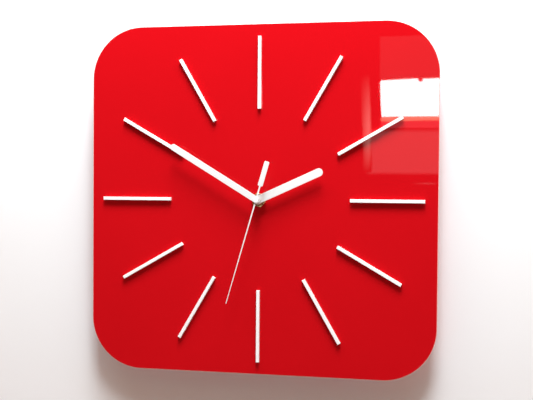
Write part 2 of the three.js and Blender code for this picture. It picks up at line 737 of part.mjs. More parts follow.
// ---------------------------------------------------------------- battery and its contacts

const BATTERY = { radius: 7.1, y: -19.4, z: 8.2, negative: -24.9, shoulder: 24.3, nub: 25.3 };
function layBattery(solid) {
  return solid.rotate([0, 90, 0]).translate([0, BATTERY.y, BATTERY.z]);
}
place(
  "battery_cell",
  layBattery(
    turned(
      [
        [0, BATTERY.negative],
        [BATTERY.radius - 0.6, BATTERY.negative],
        [BATTERY.radius, BATTERY.negative + 0.6],
        [BATTERY.radius, BATTERY.shoulder - 0.6],
        [BATTERY.radius - 0.6, BATTERY.shoulder],
        [0, BATTERY.shoulder],
      ],
      32,
    ),
  ),
  batteryWrap,
);
place(
  "battery_cap",
  layBattery(rod(2.75, BATTERY.shoulder, BATTERY.nub, AXIS, 16)),
  steel,
);

const CONTACT = { thickness: 0.3, outer: 26.5, z0: 6.8, z1: 8.8, bayZ0: 3, bayZ1: 13 };
const stripInner = CONTACT.outer - CONTACT.thickness;
const bayPlate = (x0, x1) => block(x0, -25, x1, -14, CONTACT.bayZ0, CONTACT.bayZ1);
const bump = (x0, x1) => rod(2, x0, x1, AXIS, 12).rotate([0, 90, 0])
  .translate([0, BATTERY.y, BATTERY.z]);
place(
  "battery_contact_negative",
  join(
    bayPlate(-CONTACT.outer, -stripInner),
    bump(-stripInner - 0.05, -25.2),
    block(-CONTACT.outer, -20, -stripInner, 21, CONTACT.z0, CONTACT.z1),
    block(-CONTACT.outer, 19, -24, 21, CONTACT.z0, CONTACT.z0 + CONTACT.thickness),
  ),
  steel,
);
// The positive strip runs up the side wall, bends across the corner and follows the top wall.
const bend = 2.1;
const bentStrip = [
  [CONTACT.outer, -20],
  [CONTACT.outer, CONTACT.outer - bend],
  [CONTACT.outer - bend, CONTACT.outer],
  [-9, CONTACT.outer],
  [-9, stripInner],
  [stripInner - bend + 0.18, stripInner],
  [stripInner, stripInner - bend + 0.18],
  [stripInner, -20],
].map((p) => new THREE.Vector2(...p));
place(
  "battery_contact_positive",
  join(
    bayPlate(stripInner, CONTACT.outer),
    bump(25.6, stripInner + 0.05),
    slab(bentStrip, CONTACT.z0, CONTACT.z1),
    block(-9, 24, -7.5, CONTACT.outer, CONTACT.z0, CONTACT.z0 + CONTACT.thickness),
  ),
  steel,
);

// ---------------------------------------------------------------- the finished clock

const nailHeight = SLOT.top + SLOT.notch;
dialFrame.rotation.x = Math.PI / 2;
dialFrame.position.z = -nailHeight;

export default clock;
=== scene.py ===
"""Looks of the wall clock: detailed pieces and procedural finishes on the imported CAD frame.

Pieces are built in the dial's frame, in millimetres: x to the right, y up, z out of the wall with
z = 0 on the wall, and x = y = 0 on the hands' axis. TO_ROW then puts them in the row frame.
"""

import json
import math

import bmesh
import bpy
from mathutils import Matrix, Vector
from mathutils.geometry import tessellate_polygon

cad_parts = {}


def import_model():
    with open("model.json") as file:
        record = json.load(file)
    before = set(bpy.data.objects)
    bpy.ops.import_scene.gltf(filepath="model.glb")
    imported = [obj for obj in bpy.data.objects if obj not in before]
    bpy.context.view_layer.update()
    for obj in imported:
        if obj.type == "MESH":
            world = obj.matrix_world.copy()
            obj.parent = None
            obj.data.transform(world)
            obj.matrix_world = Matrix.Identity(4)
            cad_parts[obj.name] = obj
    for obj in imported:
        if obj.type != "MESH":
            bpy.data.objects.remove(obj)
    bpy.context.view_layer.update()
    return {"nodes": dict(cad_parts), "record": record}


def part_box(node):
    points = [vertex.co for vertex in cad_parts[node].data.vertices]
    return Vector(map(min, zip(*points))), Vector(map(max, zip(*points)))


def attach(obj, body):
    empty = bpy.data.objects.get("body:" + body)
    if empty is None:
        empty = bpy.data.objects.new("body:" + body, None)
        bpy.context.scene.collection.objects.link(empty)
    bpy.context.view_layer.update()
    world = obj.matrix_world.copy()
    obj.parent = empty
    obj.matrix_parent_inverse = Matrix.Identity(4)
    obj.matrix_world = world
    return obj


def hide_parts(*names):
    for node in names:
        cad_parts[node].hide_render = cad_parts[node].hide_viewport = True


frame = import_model()
CAD = frame["nodes"]
MM = 0.001

panel_low, panel_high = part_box("face_panel")
DIAL_CENTRE = (panel_low + panel_high) / 2
TO_ROW = Matrix(
    (
        (MM, 0, 0, DIAL_CENTRE.x),
        (0, 0, -MM, 0),
        (0, MM, 0, DIAL_CENTRE.z),
        (0, 0, 0, 1),
    )
)
FROM_ROW = TO_ROW.inverted()


def span(node):
    """A CAD node's box in the dial's frame, in mm, as (low, high)."""
    a, b = (FROM_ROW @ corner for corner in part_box(node))
    return Vector(map(min, a, b)), Vector(map(max, a, b))


def back_of(node):
    return span(node)[0].z


def front_of(node):
    return span(node)[1].z


# ---------------------------------------------------------------- outlines, in mm


def circle(radius, steps=32, at=(0, 0), turn=0.0):
    points = []
    for i in range(steps):
        a = turn + 2 * math.pi * i / steps
        points.append((at[0] + radius * math.cos(a), at[1] + radius * math.sin(a)))
    return points


def fillet(points, radii, steps=5):
    """A closed outline with each corner rounded. A radius of 0 keeps the corner."""
    if not hasattr(radii, "__len__"):
        radii = [radii] * len(points)
    result = []
    count = len(points)
    for i, radius in enumerate(radii):
        corner = Vector(points[i])
        back = (Vector(points[i - 1]) - corner).normalized()
        ahead = (Vector(points[(i + 1) % count]) - corner).normalized()
        angle = back.angle(ahead)
        if radius == 0 or angle > math.pi - 0.01:
            result.append(tuple(corner))
            continue
        reach = radius / math.tan(angle / 2)
        centre = corner + (back + ahead).normalized() * radius / math.sin(angle / 2)
        start = corner + back * reach - centre
        sweep = start.angle_signed(corner + ahead * reach - centre)
        for k in range(steps + 1):
            a = -sweep * k / steps
            x = start.x * math.cos(a) - start.y * math.sin(a)
            y = start.x * math.sin(a) + start.y * math.cos(a)
            result.append((centre.x + x, centre.y + y))
    return result


def box_outline(x0, y0, x1, y1, radius=0.0, steps=5):
    return fillet([(x0, y0), (x1, y0), (x1, y1), (x0, y1)], radius, steps)


def turned(points, degrees, at=(0, 0)):
    """Points turned clockwise about the origin and moved."""
    a = math.radians(-degrees)
    return [
        (at[0] + x * math.cos(a) - y * math.sin(a), at[1] + x * math.sin(a) + y * math.cos(a))
        for x, y in points
    ]


def area(points):
    pairs = zip(points, points[1:] + points[:1])
    return sum(x0 * y1 - x1 * y0 for (x0, y0), (x1, y1) in pairs) / 2


def inset(points, distance):
    """A closed outline moved sideways to its left, which is inwards when it runs anticlockwise."""
    if distance == 0:
        return list(points)
    moved = []
    count = len(points)
    for i in range(count):
        p = Vector(points[i])
        n0 = (p - Vector(points[i - 1])).orthogonal().normalized()
        n1 = (Vector(points[(i + 1) % count]) - p).orthogonal().normalized()
        mitre = (n0 + n1) / max(0.2, 1 + n0.dot(n1))
        moved.append(tuple(p + mitre * distance))
    return moved


# ---------------------------------------------------------------- surfaces, in mm


def strip(bm, lower, upper):
    """Quads between two closed rings of vertices, or triangles where a ring is one point."""
    for i in range(len(lower)):
        j = (i + 1) % len(lower)
        corners = []
        for v in (lower[i], lower[j], upper[j], upper[i]):
            if v not in corners:
                corners.append(v)
        if len(corners) > 2:
            bm.faces.new(corners)


def rings(bm, outline, levels):
    """Joined rings of a closed outline at (inset, z) levels."""
    made = [[bm.verts.new((x, y, z)) for x, y in inset(outline, d)] for d, z in levels]
    for lower, upper in zip(made, made[1:]):
        strip(bm, lower, upper)
    return made


def cap(bm, loops):
    """Triangles over a flat region: the first loop less the others."""
    flat = [v for loop in loops for v in loop]
    for triangle in tessellate_polygon([[v.co for v in loop] for loop in loops]):
        corners = [flat[i] for i in triangle]
        if (corners[1].co - corners[0].co).cross(corners[2].co - corners[0].co).length > 1e-9:
            bm.faces.new(corners)


def round_edge(z0, z1, radius, steps=3):
    """(inset, z) pairs that round both edges of a plate from z0 to z1."""
    pairs = []
    for k in range(steps + 1):
        a = math.pi / 2 * k / steps
        pairs.append((radius * (1 - math.sin(a)), z0 + radius * (1 - math.cos(a))))
    for k in range(steps + 1):
        a = math.pi / 2 * k / steps
        pairs.append((radius * (1 - math.cos(a)), z1 - radius * (1 - math.sin(a))))
    return pairs


def plate(bm, outline, z0, z1, edge, holes=(), steps=3):
    """A flat plate with rounded edges. The outline and the holes are closed lists of points."""
    loops = [outline if area(outline) > 0 else outline[::-1]]
    loops += [hole if area(hole) < 0 else hole[::-1] for hole in holes]
    profile = round_edge(z0, z1, edge, steps)
    sides = [rings(bm, loop, profile) for loop in loops]
    cap(bm, [side[0] for side in sides])
    cap(bm, [side[-1] for side in sides])


def revolve(bm, profile, steps=48, at=(0, 0), closed=True, shape=None):
    """A profile of (radius, z) points turned about an axis. shape(angle, radius, z) may vary it."""
    made = []
    for radius, z in profile:
        if radius == 0:
            made.append([bm.verts.new((at[0], at[1], z))] * steps)
            continue
        ring = []
        for i in range(steps):
            a = 2 * math.pi * i / steps
            r = shape(a, radius, z) if shape else radius
            ring.append(bm.verts.new((at[0] + r * math.cos(a), at[1] + r * math.sin(a), z)))
        made.append(ring)
    for lower, upper in zip(made, made[1:]):
        strip(bm, lower, upper)
    if closed:
        strip(bm, made[-1], made[0])


def piece(name, bm, body, finish, nodes=(), smooth_below=38, extra=()):
    """Makes a finished object of a mesh in the dial's frame, riding on a body."""
    bmesh.ops.recalc_face_normals(bm, faces=bm.faces)
    bm.transform(TO_ROW)
    mesh = bpy.data.meshes.new(name)
    bm.to_mesh(mesh)
    bm.free()
    mesh.shade_smooth()
    mesh.set_sharp_from_angle(angle=math.radians(smooth_below))
    for material in (finish, *extra):
        mesh.materials.append(material)
    obj = bpy.data.objects.new(name, mesh)
    bpy.context.scene.collection.objects.link(obj)
    weighted = obj.modifiers.new("flat faces lead", "WEIGHTED_NORMAL")
    weighted.keep_sharp = True
    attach(obj, body)
    if nodes:
        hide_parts(*nodes)
    return obj


# ---------------------------------------------------------------- finishes


class Finish:
    """A Principled material under construction, on coordinates in metres."""

    def __init__(self, name, roughness=0.5, metallic=0.0, ior=1.5, coat=0.0):
        self.material = bpy.data.materials.new(name)
        self.material.use_nodes = True
        self.tree = self.material.node_tree
        self.shader = self.tree.nodes["Principled BSDF"]
        self.set("Roughness", roughness)
        self.set("Metallic", metallic)
        self.set("IOR", ior)
        self.set("Coat Weight", coat)
        self.place = self.node("ShaderNodeTexCoord").outputs["Object"]

    def set(self, socket, value):
        if isinstance(value, bpy.types.NodeSocket):
            self.tree.links.new(value, self.shader.inputs[socket])
        else:
            self.shader.inputs[socket].default_value = value

    def node(self, kind, inputs=None, **settings):
        made = self.tree.nodes.new(kind)
        for key, value in settings.items():
            setattr(made, key, value)
        for key, value in (inputs or {}).items():
            if isinstance(value, bpy.types.NodeSocket):
                self.tree.links.new(value, made.inputs[key])
            else:
                made.inputs[key].default_value = value
        return made

    def stretched(self, x=1.0, y=1.0, z=1.0):
        made = self.node("ShaderNodeMapping", {"Vector": self.place, "Scale": (x, y, z)})
        return made.outputs["Vector"]

    def noise(self, scale, detail=4.0, rough=0.55, along=None):
        inputs = {"Vector": along or self.place, "Scale": scale, "Detail": detail}
        inputs["Roughness"] = rough
        return self.node("ShaderNodeTexNoise", inputs).outputs["Fac"]

    def cells(self, scale):
        inputs = {"Vector": self.place, "Scale": scale}
        return self.node("ShaderNodeTexVoronoi", inputs, feature="SMOOTH_F1").outputs["Distance"]

    def range(self, value, low, high, to_low=0.0, to_high=1.0):
        inputs = {"Value": value, "From Min": low, "From Max": high}
        inputs.update({"To Min": to_low, "To Max": to_high})
        return self.node("ShaderNodeMapRange", inputs, clamp=True).outputs["Result"]

    def math(self, operation, a, b=0.0):
        return self.node("ShaderNodeMath", {0: a, 1: b}, operation=operation).outputs["Value"]

    def mix(self, share, a, b):
        made = self.node("ShaderNodeMix", data_type="RGBA")
        sockets = [socket for socket in made.inputs if socket.enabled]
        for socket, value in zip(sockets, (share, a, b)):
            if isinstance(value, bpy.types.NodeSocket):
                self.tree.links.new(value, socket)
            else:
                socket.default_value = value
        return [socket for socket in made.outputs if socket.enabled][0]

    def bump(self, height, distance, under=None):
        inputs = {"Height": height, "Distance": distance, "Strength": 1.0}
        if under:
            inputs["Normal"] = under
        return self.node("ShaderNodeBump", inputs).outputs["Normal"]


def rgb(r, g, b):
    return (r, g, b, 1.0)


def red_acrylic():
    f = Finish("red_acrylic", ior=1.49)
    cast = f.noise(9, 2)
    f.set("Base Color", f.mix(cast, rgb(0.5, 0.0028, 0.006), rgb(0.555, 0.0036, 0.0075)))
    haze = f.noise(60, 5, 0.7)
    hairlines = f.noise(900, 2, 0.5, f.stretched(1, 1, 0.04))
    wiped = f.range(hairlines, 0.66, 0.78, 0, 0.02)
    f.set("Roughness", f.math("ADD", f.range(haze, 0.3, 0.75, 0.008, 0.02), wiped))
    waves = f.bump(f.noise(14, 1), 0.00006)
    f.set("Normal", f.bump(f.noise(2500, 2), 0.0000006, under=waves))
    return f.material


def red_acrylic_edge(name, dark, light):
    """An edge of the sheet, with fine marks across it. The colours given to it are paler than the
    face: painted light.
    """
    f = Finish(name, ior=1.49)
    sawn = f.noise(1500, 3, 0.5, f.stretched(1, 0.05, 1))
    f.set("Base Color", f.mix(sawn, dark, light))
    f.set("Roughness", f.range(sawn, 0.3, 0.7, 0.2, 0.34))
    f.set("Normal", f.bump(sawn, 0.00001))
    return f.material


def white_acrylic():
    f = Finish("white_acrylic", ior=1.49)
    f.set("Base Color", f.mix(f.noise(120, 3), rgb(0.86, 0.86, 0.85), rgb(0.89, 0.89, 0.88)))
    f.set("Roughness", f.range(f.noise(900, 4), 0.3, 0.7, 0.12, 0.24))
    f.set("Normal", f.bump(f.noise(400, 2), 0.000004))
    return f.material


def white_enamel(name, tone):
    f = Finish(name, coat=0.25)
    pale, warm = rgb(tone, tone, tone - 0.01), rgb(tone - 0.03, tone - 0.03, tone - 0.045)
    f.set("Base Color", f.mix(f.noise(200, 3), warm, pale))
    f.set("Roughness", f.range(f.noise(1500, 4), 0.3, 0.7, 0.28, 0.42))
    f.set("Normal", f.bump(f.noise(2200, 2), 0.000006))
    return f.material


def brass():
    f = Finish("brass", metallic=1.0)
    stain = f.noise(700, 5, 0.65)
    bright, tarnished = rgb(0.80, 0.58, 0.27), rgb(0.62, 0.42, 0.19)
    f.set("Base Color", f.mix(f.range(stain, 0.35, 0.7), bright, tarnished))
    f.set("Roughness", f.range(stain, 0.3, 0.75, 0.18, 0.36))
    f.set("Normal", f.bump(f.noise(6000, 2, 0.5, f.stretched(1, 0.08, 1)), 0.000004))
    return f.material


def steel(name, tone, tint, low, high, scale=500):
    f = Finish(name, metallic=1.0)
    spangle = f.cells(scale)
    cloud = f.noise(scale / 2, 5, 0.6)
    f.set("Base Color", f.mix(f.range(cloud, 0.35, 0.65), tone, tint))
    f.set("Roughness", f.range(f.math("ADD", spangle, cloud), 0.6, 1.4, low, high))
    f.set("Normal", f.bump(f.noise(3000, 3), 0.000004))
    return f.material


def moulded(name, dark, light, low, high, grain, depth):
    f = Finish(name)
    f.set("Base Color", f.mix(f.noise(90, 4), dark, light))
    texture = f.noise(grain, 3, 0.6)
    f.set("Roughness", f.range(texture, 0.3, 0.7, low, high))
    f.set("Normal", f.bump(texture, depth))
    return f.material


def battery_wrap():
    """A printed sleeve: dark green, with a pale band and two thin lines at the positive end."""
    f = Finish("battery_wrap", coat=0.3)
    along = f.node("ShaderNodeSeparateXYZ", {"Vector": f.place}).outputs["X"]
    mottle = f.noise(250, 4)
    colour = f.mix(mottle, rgb(0.012, 0.075, 0.055), rgb(0.016, 0.095, 0.07))
    pale = f.mix(mottle, rgb(0.66, 0.67, 0.66), rgb(0.69, 0.70, 0.69))
    for low, high in ((0.0125, 0.03), (0.0095, 0.0103), (0.0112, 0.0117)):
        above = f.math("GREATER_THAN", along, low)
        colour = f.mix(f.math("MULTIPLY", above, f.math("LESS_THAN", along, high)), colour, pale)
    f.set("Base Color", colour)
    f.set("Roughness", f.range(f.noise(800, 4), 0.3, 0.7, 0.18, 0.32))
    f.set("Normal", f.bump(f.noise(500, 3), 0.00001))
    return f.material


FINISH = {
    "red_acrylic": red_acrylic(),
    # The cut side: the face's red with saw marks, set a little paler than the face as painted
    # bounce light.
    "red_edge_painted_paler": red_acrylic_edge("red_edge_painted_paler", rgb(0.56, 0.012, 0.015), rgb(0.66, 0.03, 0.032)),
    # A pale pink copy of the edge finish: a painted highlight along the dial's rounded edge.
    "painted_edge_highlight": red_acrylic_edge(
        "painted_edge_highlight", rgb(0.9, 0.45, 0.42), rgb(0.95, 0.58, 0.55)
    ),
    "white_acrylic": white_acrylic(),
    "white_enamel": white_enamel("white_enamel", 0.76),
    # The hands' white enamel made brighter for the boss: a painted highlight, so the disc stands
    # out from the hands.
    "boss_enamel_painted_bright": white_enamel("boss_enamel_painted_bright", 0.88),
    "brass": brass(),
    "zinc_plated_steel": steel(
        "zinc_plated_steel", rgb(0.66, 0.67, 0.69), rgb(0.70, 0.695, 0.67), 0.3, 0.42, 1100
    ),
    "bright_steel": steel(
        "bright_steel", rgb(0.62, 0.62, 0.62), rgb(0.70, 0.70, 0.69), 0.18, 0.32, 900
    ),
    "black_plastic": moulded(
        "black_plastic", rgb(0.012, 0.012, 0.013), rgb(0.02, 0.02, 0.021), 0.42, 0.58, 3500, 0.00002
    ),
    "black_rubber": moulded(
        "black_rubber", rgb(0.01, 0.01, 0.01), rgb(0.022, 0.021, 0.02), 0.75, 0.9, 1800, 0.00003
    ),
    "natural_plastic": moulded(
        "natural_plastic", rgb(0.74, 0.73, 0.68), rgb(0.80, 0.79, 0.74), 0.3, 0.45, 2500, 0.000008
    ),
    "ferrite": moulded(
        "ferrite", rgb(0.05, 0.05, 0.055), rgb(0.09, 0.09, 0.1), 0.4, 0.65, 5000, 0.00001
    ),
    "copper_wire": steel("copper_wire", rgb(0.72, 0.30, 0.12), rgb(0.55, 0.20, 0.08), 0.2, 0.4),
    "board": moulded(
        "board", rgb(0.012, 0.10, 0.045), rgb(0.02, 0.14, 0.06), 0.25, 0.4, 1500, 0.000008
    ),
    "chip_resin": moulded(
        "chip_resin", rgb(0.006, 0.006, 0.006), rgb(0.012, 0.012, 0.012), 0.2, 0.35, 900, 0.00002
    ),
    "battery_wrap": battery_wrap(),
}

# CAD nodes that keep their own shape take a procedural finish by their slot.
SLOT = {part["node"]: part["material_slot"] for part in frame["record"]["subparts"]}
for node, obj in CAD.items():
    obj.data.materials.clear()
    obj.data.materials.append(FINISH[SLOT[node]])

# ---------------------------------------------------------------- dial

BUSH_HOLE = 4.1  # radius of the hole that the dial, washers and bracket have for the bush
DIAL = {"corner": 45, "edge": 0.6}
FLAT_FACE, CUT_SIDE = 0.93, 0.3  # share of a face's normal that lies along z

panel_back, panel_front = back_of("face_panel"), front_of("face_panel")
half_side = span("face_panel")[1].x
dial_outline = box_outline(-half_side, -half_side, half_side, half_side, DIAL["corner"], 28)
bm = bmesh.new()
plate(bm, dial_outline, panel_back, panel_front, DIAL["edge"], [circle(BUSH_HOLE, 48)], steps=5)
bmesh.ops.recalc_face_normals(bm, faces=bm.faces)
# Rounded edge faces that turn partly to the front take the pale pink finish, a painted highlight;
# the sides take the cut edge's finish.
for face in bm.faces:
    facing = abs(face.normal.z)
    if facing < FLAT_FACE:
        face.material_index = 1 if facing < CUT_SIDE else 2
piece(
    "dial_panel", bm, "movement", FINISH["red_acrylic"], ["face_panel"],
    extra=[FINISH["red_edge_painted_paler"], FINISH["painted_edge_highlight"]],
)

MARKER = {"width": 2.75, "length": 61.5, "inner": 77.5, "corner": 0.12, "edge": 0.22}
half = MARKER["width"] / 2
marker_end = MARKER["inner"] + MARKER["length"]
bar = box_outline(-half, MARKER["inner"], half, marker_end, MARKER["corner"], 3)
for hour in range(1, 13):
    node = f"hour_marker_{hour:02d}"
    bm = bmesh.new()
    plate(bm, turned(bar, 30 * hour), back_of(node), front_of(node), MARKER["edge"])
    name = f"marker_bar_{hour:02d}"
    piece(name, bm, "movement", FINISH["white_acrylic"], [node])

# ---------------------------------------------------------------- hands


BATON = {"thickness": 0.5, "edge": 0.14, "eye_gap": 0.05, "collar_wall": 0.95}


def baton(name, node, body, length, width, shaft, angle):
    """A stamped baton hand with round ends and a drawn collar behind its eye."""
    front, rim_back = front_of(node), back_of(node)
    back = front - BATON["thickness"]
    eye, wall = shaft + BATON["eye_gap"], shaft + BATON["collar_wall"]
    half = width / 2
    outline = box_outline(-half, -half, half, length, half - 0.001, 14)
    bm = bmesh.new()
    plate(bm, turned(outline, angle), back, front, BATON["edge"], [circle(eye, 40)])
    collar = [
        (eye, rim_back + 0.12),
        (eye + 0.12, rim_back),
        (wall - 0.2, rim_back),
        (wall, rim_back + 0.2),
        (wall, back - 0.25),
        (wall + 0.25, back + 0.02),
        (eye, back + 0.02),
    ]
    revolve(bm, collar, 40)
    piece(name, bm, body, FINISH["white_enamel"], [node])


baton("hour_baton", "hour_hand", "hour_train", length=60.2, width=6.8, shaft=2.5, angle=65.5)
baton("minute_baton", "minute_hand", "minute_train", length=88, width=5.5, shaft=1.7, angle=301.4)

SECOND = {
    "length": 91, "hub": 1.15, "tip": 0.6, "eye": 2.15, "neck": 1.35, "weight": 4.3,
    "weight_from": 12.3, "weight_to": 33.7, "angle": 196, "bore": 1.15, "edge": 0.1,
}


def second_outline():
    """Needle, round eye, neck and counterweight in one closed line, pointing at twelve."""
    s = SECOND
    eye = s["eye"]
    up = math.asin(s["hub"] / 2 / eye)
    down = math.asin(s["neck"] / 2 / eye)
    steps = 20
    arc = []
    for k in range(steps + 1):
        a = math.pi / 2 - up - (math.pi - up - down) * k / steps
        arc.append((eye * math.cos(a), eye * math.sin(a)))
    neck, half = s["neck"] / 2, s["weight"] / 2
    tail = fillet(
        [
            (neck, -eye - 1),
            (neck, -s["weight_from"]),
            (half, -s["weight_from"]),
            (half, -s["weight_to"]),
            (0, -s["weight_to"]),
        ],
        [0, 0.4, 0.9, 0.9, 0],
        4,
    )
    tip = [(s["tip"] / 2 - 0.15, s["length"]), (s["tip"] / 2, s["length"] - 0.2)]
    right = [(0, s["length"])] + tip + arc + tail
    left = [(-x, y) for x, y in reversed(right) if x > 1e-6]
    return right + left


bm = bmesh.new()
needle_back, needle_front = back_of("second_hand"), front_of("second_hand")
plate(
    bm, turned(second_outline(), SECOND["angle"]), needle_back, needle_front, SECOND["edge"],
    [circle(SECOND["bore"], 32)],
)
piece("second_needle", bm, "second_train", FINISH["white_enamel"], ["second_hand"])

BOSS = {"radius": 2.3, "tube": 1.1, "bore": 0.55}
boss_front, tube_back = front_of("second_hand_collet"), back_of("second_hand_collet")
bm = bmesh.new()
revolve(
    bm,
    [
        (0, boss_front), (BOSS["radius"] - 0.6, boss_front),
        (BOSS["radius"] - 0.3, boss_front - 0.02), (BOSS["radius"] - 0.13, boss_front - 0.08),
        (BOSS["radius"] - 0.04, boss_front - 0.17),
        (BOSS["radius"], boss_front - 0.32), (BOSS["radius"], needle_front + 0.1),
        (BOSS["radius"] - 0.1, needle_front), (BOSS["tube"], needle_front),
        (BOSS["tube"], tube_back + 0.1), (BOSS["tube"] - 0.1, tube_back),
        (BOSS["bore"] + 0.1, tube_back), (BOSS["bore"], tube_back + 0.1),
        (BOSS["bore"], needle_back), (0, needle_back),
    ],
    48,
    closed=False,
)
# The boss takes the brighter copy of the hands' enamel, a painted highlight.
piece(
    "second_boss", bm, "second_train", FINISH["boss_enamel_painted_bright"],
    ["second_hand_collet"],
)

# ---------------------------------------------------------------- clamping stack

NUT = {
    "flat": 5.5, "bore": 4.0, "lead_in": 0.25, "blank": 6.5, "turn": math.radians(46),
    "cone": math.radians(60),
}
nut_back, nut_front = back_of("fixing_nut"), front_of("fixing_nut")


def hexagon(angle, radius, z):
    """A nut's side: six flats, trimmed by a cone at both ends."""
    if radius < NUT["flat"]:
        return radius
    from_flat = (angle - NUT["turn"]) % (math.pi / 3) - math.pi / 6
    side = NUT["flat"] / math.cos(from_flat)
    depth = min(z - nut_back, nut_front - z)
    cone = NUT["flat"] - 0.05 + depth * math.tan(NUT["cone"])
    return min(side, cone)


CHAMFER_DEPTHS = [0, 0.08, 0.16, 0.24, 0.32, 0.4, 0.5, 0.6]
outer = [(NUT["blank"], nut_back + depth) for depth in CHAMFER_DEPTHS]
outer += [(NUT["blank"], nut_front - depth) for depth in reversed(CHAMFER_DEPTHS)]
mouth = NUT["bore"] + NUT["lead_in"]
bm = bmesh.new()
revolve(
    bm,
    [(mouth, nut_back)] + outer + [
        (mouth, nut_front), (NUT["bore"], nut_front - NUT["lead_in"]),
        (NUT["bore"], nut_back + NUT["lead_in"]),
    ],
    120,
    shape=hexagon,
)
piece("hex_nut", bm, "movement", FINISH["brass"], ["fixing_nut"], smooth_below=25)


def washer(bm, node, radius, bore_edge, rim_edge):
    """A flat washer round the bush, with its bore's and its rim's edges taken off."""
    back, front = back_of(node), front_of(node)
    revolve(
        bm,
        [
            (BUSH_HOLE, back + bore_edge), (BUSH_HOLE + bore_edge, back),
            (radius - rim_edge, back), (radius, back + rim_edge),
            (radius, front - rim_edge), (radius - rim_edge, front),
            (BUSH_HOLE + bore_edge, front), (BUSH_HOLE, front - bore_edge),
        ],
        64,
    )


bm = bmesh.new()
washer(bm, "brass_washer", 5.4, 0.08, 0.1)
piece("dial_washer", bm, "movement", FINISH["brass"], ["brass_washer"])

BUSH = {
    "radius": 3.95, "bore": 2.75, "flange": 6.0, "flange_depth": 1, "pitch": 0.5, "depth": 0.26,
}
LEVELS_PER_TURN = 6
bush_back, bush_end = back_of("threaded_bush"), front_of("threaded_bush")
flange_front = bush_back + BUSH["flange_depth"]
thread_from, thread_to = panel_back - 1, bush_end - 0.35


def thread(angle, radius, z):
    """A V thread cut in the bush, running out at its ends."""
    if radius < BUSH["radius"] - 0.01 or radius > BUSH["radius"] + 0.01:
        return radius
    if not thread_from < z < thread_to:
        return radius
    turns = (z / BUSH["pitch"] - angle / (2 * math.pi)) % 1
    return radius - BUSH["depth"] * (1 - abs(2 * turns - 1))


threaded_length = thread_to - thread_from
level_count = int(threaded_length / BUSH["pitch"] * LEVELS_PER_TURN)
threaded = [
    (BUSH["radius"], thread_from + threaded_length * k / level_count)
    for k in range(level_count + 1)
]
bm = bmesh.new()
revolve(
    bm,
    [
        (BUSH["bore"], bush_back), (BUSH["flange"], bush_back), (BUSH["flange"], flange_front),
        (BUSH["radius"], flange_front),
    ] + threaded + [
        (BUSH["radius"] - 0.3, bush_end), (BUSH["bore"] + 0.2, bush_end),
        (BUSH["bore"], bush_end - 0.2),
    ],
    60,
    shape=thread,
)
piece("bush_with_thread", bm, "movement", FINISH["brass"], ["threaded_bush"])

# ---------------------------------------------------------------- hanger bracket

SHEET = {"thickness": 0.8, "bend": 1.2, "half_width": 11, "corner": 3, "edge": 0.1, "riser": 30.3}
NAIL_SLOT = {"half": 6, "bottom": 37.5, "top": 43.5, "notch": 0.8, "notches_at": (-3, 0, 3)}
BEND_STEPS = 8


def bent_bracket():
    """The bracket as flat sheet in (x, length), then folded forward and back in two bends."""
    low, high = span("hanger_bracket")
    half_sheet = SHEET["thickness"] / 2
    foot_z, head_z = high.z - half_sheet, low.z + half_sheet
    riser_y = SHEET["riser"] - half_sheet
    bend = SHEET["bend"]
    arc = bend * math.pi / 2
    foot = riser_y - bend - low.y
    riser = foot_z - head_z - 2 * bend
    head = high.y - riser_y - bend
    ends = [foot, foot + arc, foot + arc + riser, foot + 2 * arc + riser]
    length = ends[-1] + head

    half = SHEET["half_width"]
    outline = box_outline(-half, 0, half, length, SHEET["corner"], 8)
    to_head = length - high.y
    bottom, top = NAIL_SLOT["bottom"] + to_head, NAIL_SLOT["top"] + to_head
    side, peak = NAIL_SLOT["half"], top + NAIL_SLOT["notch"]
    shoulder = top + NAIL_SLOT["notch"] * 0.85
    slot = [(side, top), (side, bottom), (-side, bottom), (-side, top)]
    for x in NAIL_SLOT["notches_at"]:
        slot += [(x - 1, top), (x - 0.35, shoulder), (x, peak), (x + 0.35, shoulder), (x + 1, top)]
    bm = bmesh.new()
    bush_hole = circle(BUSH_HOLE, 48, (0, -low.y))
    plate(bm, outline, -half_sheet, half_sheet, SHEET["edge"], [bush_hole, slot])
    for start in (ends[0], ends[2]):
        for k in range(BEND_STEPS + 1):
            everything = list(bm.verts) + list(bm.edges) + list(bm.faces)
            at = (0, start + arc * k / BEND_STEPS, 0)
            bmesh.ops.bisect_plane(bm, geom=everything, plane_co=at, plane_no=(0, 1, 0))
    for v in bm.verts:
        x, along, t = v.co
        if along <= ends[0]:
            v.co = (x, low.y + along, foot_z + t)
        elif along < ends[1]:
            turn = (along - ends[0]) / bend
            y = riser_y - bend + (bend + t) * math.sin(turn)
            v.co = (x, y, foot_z - bend + (bend + t) * math.cos(turn))
        elif along <= ends[2]:
            v.co = (x, riser_y + t, foot_z - bend - (along - ends[1]))
        elif along < ends[3]:
            turn = (along - ends[2]) / bend
            y = riser_y + bend - (bend - t) * math.cos(turn)
            v.co = (x, y, head_z + bend - (bend - t) * math.sin(turn))
        else:
            v.co = (x, riser_y + bend + along - ends[3], head_z + t)
    piece(
        "folded_bracket", bm, "movement", FINISH["zinc_plated_steel"],
        ["hanger_bracket"], smooth_below=32,
    )


bent_bracket()

bm = bmesh.new()
washer(bm, "rubber_washer", 9.0, 0.1, 0.3)
piece("soft_washer", bm, "movement", FINISH["black_rubber"], ["rubber_washer"])

# ---------------------------------------------------------------- movement case

